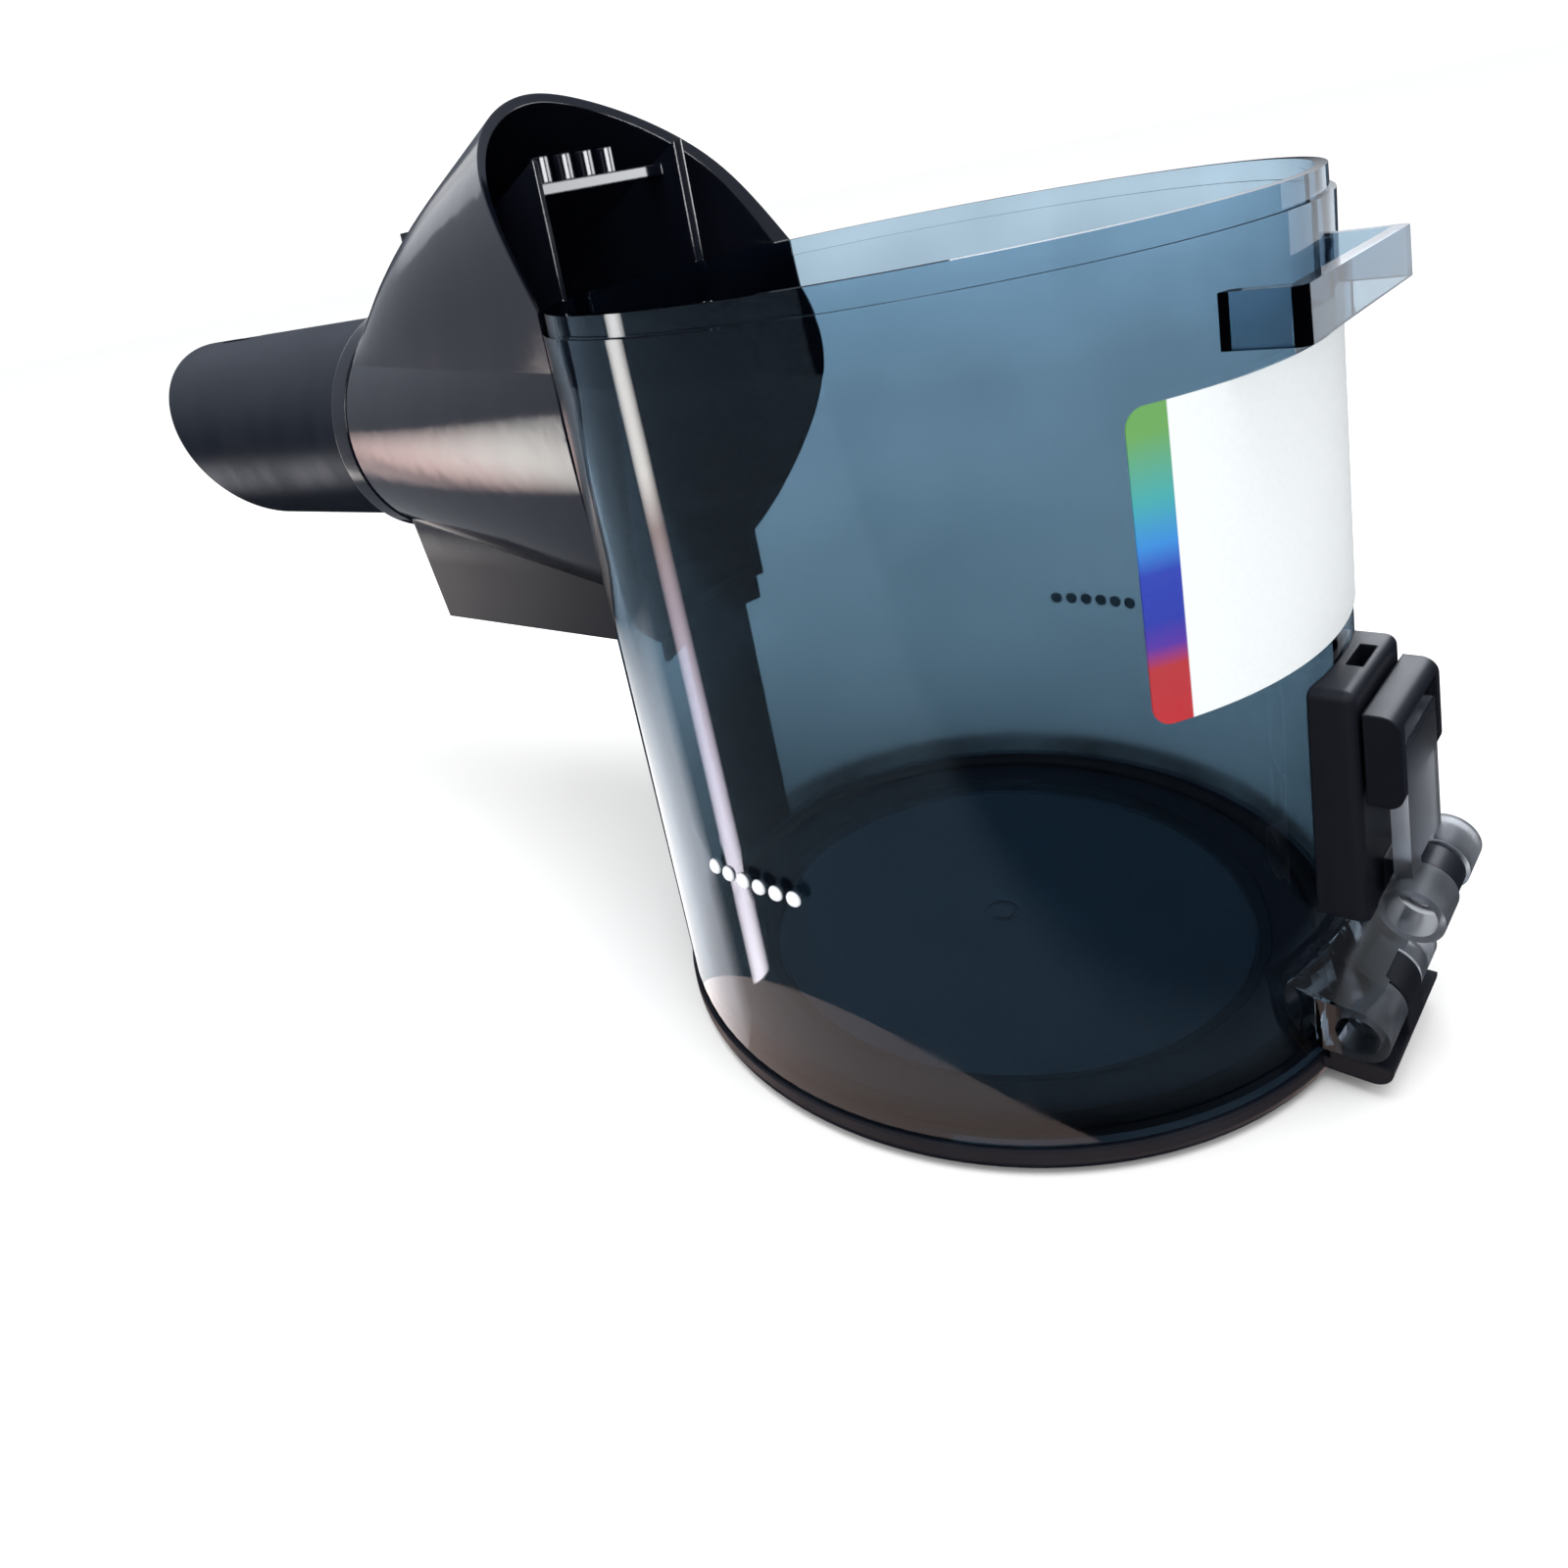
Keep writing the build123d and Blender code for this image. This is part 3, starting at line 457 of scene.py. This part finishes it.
GLOSS_BLACK = moulded_plastic(
    "gloss_black_hood", HOOD_BLACK, HOOD_BLACK_WORN, 0.10, 4 * MM, 0.03 * MM, 0.4, dull_below=KEEL_SATIN_Z
)
SATIN_BLACK_PLASTIC = moulded_plastic(
    "satin_black_plastic", SATIN_BLACK, SATIN_BLACK_WORN, 0.36, 0.22 * MM, 0.02 * MM, 0.5
)
TUBE_PLASTIC = moulded_plastic(
    "satin_grey_tube", TUBE_GREY, TUBE_GREY_WORN, 0.38, 0.25 * MM, 0.02 * MM, 0.5
)
SMOKED_WALL = smoked_plastic("smoked_clear_wall", 0.012, 1.0, WALL_TINT_AND_PAINTED_LIGHT)
SMOKED_WINDOW = smoked_plastic("smoked_clear_window", 0.03, 0.8, PLATE_SMOKE)
SMOKED_LEVER = smoked_plastic("smoked_clear_lever", 0.05, 0.4, LEVER_SMOKE)
# This white material paints the highlights of the clear dots.
DOT_HIGHLIGHT_PAINT = moulded_plastic(
    "painted_dot_highlight", DOT_HIGHLIGHT_WHITE, DOT_HIGHLIGHT_WORN, 0.35, 0.15 * MM, 0.01 * MM, 0.3, 0.0
)
SEAL_RUBBER = rubber_finish("seal_rubber")
PIN_STEEL = drawn_steel("pin_steel", 1)
SPRING_STEEL = drawn_steel("spring_steel", 2)
PAPER_LABEL = label_paper("printed_label")

FINISH = {
    "canister": SMOKED_WALL,
    "lid_window": SMOKED_WINDOW,
    "release_lever": SMOKED_LEVER,
    "inlet_hood": GLOSS_BLACK,
    "inlet_tube": TUBE_PLASTIC,
    "front_catch": SATIN_BLACK_PLASTIC,
    "lid_ring": SATIN_BLACK_PLASTIC,
    "latch_housing": SATIN_BLACK_PLASTIC,
    "finger_tab": SATIN_BLACK_PLASTIC,
    "lid_seal": SEAL_RUBBER,
    "hinge_pin": PIN_STEEL,
    "lever_pin": PIN_STEEL,
    "lever_spring": SPRING_STEEL,
    "rear_label": PAPER_LABEL,
}
for name, finish in FINISH.items():
    slots = nodes[name].data.materials
    slots.clear()
    slots.append(finish)


def put_in_scene(name, form, material):
    """Turns a finished form into an object of the scene."""
    mesh = bpy.data.meshes.new(name)
    form.to_mesh(mesh)
    form.free()
    mesh.materials.append(material)
    made = bpy.data.objects.new(name, mesh)
    bpy.context.scene.collection.objects.link(made)
    return made


def add_painted_dot_highlights():
    """White domes over the rows of raised dots on both sides of the wall, as painted highlights of the clear
    dots.
    """
    form = bmesh.new()
    for side in (-1, 1):
        for index in range(DOT_COUNT):
            x = DOT_X_MIDDLE + (index - (DOT_COUNT - 1) / 2) * DOT_PITCH
            y = side * math.sqrt(DOT_WALL_R**2 - x**2)
            dome = bmesh.new()
            arc = [
                dome.verts.new((DOT_CAP_R * math.cos(turn), 0, DOT_CAP_HEIGHT * math.sin(turn)))
                for turn in (0.0, 0.4, 0.8, 1.2, math.pi / 2)
            ]
            edges = [dome.edges.new(pair) for pair in zip(arc, arc[1:])]
            bmesh.ops.spin(
                dome,
                geom=arc + edges,
                cent=(0, 0, 0),
                axis=(0, 0, 1),
                angle=2 * math.pi,
                steps=20,
                use_merge=True,
            )
            bmesh.ops.remove_doubles(dome, verts=dome.verts, dist=0.001 * MM)
            bmesh.ops.holes_fill(dome, edges=dome.edges, sides=40)
            bmesh.ops.recalc_face_normals(dome, faces=dome.faces)
            lean = Vector((0, 0, 1)).rotation_difference(Vector((x, y, 0))).to_matrix().to_4x4()
            bmesh.ops.transform(dome, matrix=Matrix.Translation((x, y, DOT_Z)) @ lean, verts=dome.verts)
            mesh = bpy.data.meshes.new("one_dot")
            dome.to_mesh(mesh)
            dome.free()
            form.from_mesh(mesh)
            bpy.data.meshes.remove(mesh)
    for face in form.faces:
        face.smooth = len(face.verts) < 5
    # The white caps are painted highlights.
    highlight_caps = put_in_scene("painted_dot_highlights", form, DOT_HIGHLIGHT_PAINT)
    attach(highlight_caps, "cup")


def add_floor():
    """Pale sheet that the cup stands on, wide enough to run out of every view. It ends at the hinge, so
    that the lid has room to hang open and stays in sight."""
    form = bmesh.new()
    bmesh.ops.create_circle(form, cap_ends=True, segments=64, radius=FLOOR_R)
    bmesh.ops.translate(form, verts=form.verts, vec=(0, 0, cad_box[0].z - FLOOR_GAP))
    material, tree, shader, place = start_material("pale_floor")
    tree.link(tree.mix(tree.noise(place, 4, 2), *FLOOR_TONES), shader.inputs["Base Color"])
    tree.link(tree.spread(tree.axes(place)["X"], *FLOOR_END_X, 1, 0), shader.inputs["Alpha"])
    shader.inputs["Roughness"].default_value = 0.7
    floor = put_in_scene("studio_floor", form, material)
    floor.visible_glossy = False


def add_soft_light(name, size, place, aim, watts, only_gloss=False):
    """A rectangular soft box at a place, turned towards its aim; sizes in metres.
    With only_gloss it is a card that shows in glossy faces and casts no light of its own."""
    lamp = bpy.data.lights.new(name, "AREA")
    lamp.shape = "RECTANGLE"
    lamp.size, lamp.size_y = size
    lamp.energy = watts
    holder = bpy.data.objects.new(name, lamp)
    holder.location = place
    holder.rotation_euler = (Vector(aim) - Vector(place)).to_track_quat("-Z", "Y").to_euler()
    holder.visible_camera = False
    holder.visible_transmission = False
    holder.visible_diffuse = not only_gloss
    holder.visible_glossy = only_gloss
    bpy.context.scene.collection.objects.link(holder)
    return holder


def show_only_in(card, solids):
    """Lets only the named solids reflect a card."""
    seers = bpy.data.collections.new(card.name + "_seers")
    for solid in solids:
        seers.objects.link(nodes[solid])
    card.light_linking.receiver_collection = seers


def add_table_glow():
    """Warm ring sheet far under the cup, which shows low on the wall and on the lid's edge."""
    form = bmesh.new()
    bmesh.ops.create_circle(form, cap_ends=True, segments=96, radius=TABLE_GLOW_R)
    inner = form.faces[:]
    bmesh.ops.inset_region(
        form, faces=inner, thickness=TABLE_GLOW_BAND, use_boundary=True, use_even_offset=True
    )
    bmesh.ops.delete(form, geom=inner, context="FACES")
    bmesh.ops.translate(form, verts=form.verts, vec=TABLE_GLOW_MIDDLE)
    material, _, shader, _ = start_material("warm_table_light")
    shader.inputs["Base Color"].default_value = (0, 0, 0, 1)
    shader.inputs["Emission Color"].default_value = TABLE_GLOW_TINT
    shader.inputs["Emission Strength"].default_value = TABLE_GLOW_STRENGTH
    ring = put_in_scene("table_glow", form, material)
    ring.visible_camera = False
    ring.visible_diffuse = False
    ring.visible_transmission = False
    ring.visible_shadow = False
    show_only_in(ring, ("canister", "lid_ring"))


def add_card(name, start, end, width, watts, seen_by, tints):
    """Card between two points, turned to the cup, brightest along its middle, which only the named
    solids reflect."""
    start, end = Vector(start), Vector(end)
    along = (end - start).normalized()
    middle = (start + end) / 2
    back = middle - CUP_MIDDLE
    back = (back - back.dot(along) * along).normalized()
    card = add_soft_light(name, (width, (end - start).length), middle, CUP_MIDDLE, watts, True)
    card.rotation_euler = Matrix((along.cross(back), along, back)).transposed().to_euler()
    show_only_in(card, seen_by)
    lamp = card.data
    lamp.use_nodes = True
    tree = Tree(lamp.node_tree)
    place = tree.axes(tree.node("ShaderNodeNewGeometry").outputs["Parametric"])
    across = tree.math("MULTIPLY", place["X"], tree.math("SUBTRACT", 1.0, place["X"]))
    fade = tree.math("POWER", tree.math("MULTIPLY", across, 4.0), 0.8)
    shine = lamp.node_tree.nodes["Emission"]
    tree.link(tree.ramp(place["Y"], tints), shine.inputs["Color"])
    tree.link(fade, shine.inputs["Strength"])


def add_studio_sky():
    """White surroundings; glossy faces see a dimmer room, bright overhead and dark below."""
    world = bpy.data.worlds.new("studio_white")
    world.use_nodes = True
    tree = Tree(world.node_tree)
    white = world.node_tree.nodes["Background"]
    white.inputs["Color"].default_value = (1.0, 1.0, 1.0, 1)
    white.inputs["Strength"].default_value = SKY_STRENGTH
    axes = tree.axes(tree.node("ShaderNodeTexCoord").outputs["Generated"])
    room = tree.node("ShaderNodeBackground")
    tree.link(tree.ramp(tree.spread(axes["Z"], -1, 1, 0, 1), ROOM_RISE), room.inputs["Color"])
    choose = tree.node("ShaderNodeMixShader")
    bounced = tree.math("GREATER_THAN", tree.node("ShaderNodeLightPath").outputs["Glossy Depth"], 0.5)
    tree.link(bounced, choose.inputs[0])
    tree.link(white.outputs[0], choose.inputs[1])
    tree.link(room.outputs[0], choose.inputs[2])
    tree.link(choose.outputs[0], world.node_tree.nodes["World Output"].inputs["Surface"])
    bpy.context.scene.world = world


def add_camera():
    """The photograph's camera, from its eye, angles and focal length."""
    forward = Vector((-math.sin(YAW) * math.cos(PITCH), math.cos(YAW) * math.cos(PITCH), -math.sin(PITCH)))
    level = forward.cross(Vector((0, 0, 1))).normalized()
    above = level.cross(forward)
    right = math.cos(ROLL) * level + math.sin(ROLL) * above
    up = math.cos(ROLL) * above - math.sin(ROLL) * level
    lens = bpy.data.cameras.new("photo_camera")
    lens.sensor_fit = "HORIZONTAL"
    lens.sensor_width = SENSOR_WIDTH
    lens.lens = SENSOR_WIDTH * FOCAL / IMAGE_SIDE
    lens.shift_x = (IMAGE_SIDE / 2 - CENTRE_X) / IMAGE_SIDE
    lens.shift_y = (CENTRE_Y - IMAGE_SIDE / 2) / IMAGE_SIDE
    lens.clip_start = 0.005
    camera = bpy.data.objects.new("photo_camera", lens)
    turn = Matrix((right, up, -forward)).transposed().to_4x4()
    camera.matrix_world = Matrix.Translation(EYE) @ turn
    bpy.context.scene.collection.objects.link(camera)
    bpy.context.scene.camera = camera


add_painted_dot_highlights()
add_floor()
add_studio_sky()
for name, card in CARDS.items():
    add_card(name, *card)
add_table_glow()
add_soft_light("top_box", (TOP_BOX_SIDE, TOP_BOX_SIDE), TOP_BOX_PLACE, TOP_BOX_AIM, TOP_BOX_WATTS)
add_camera()
bpy.context.scene.view_settings.view_transform = "Standard"
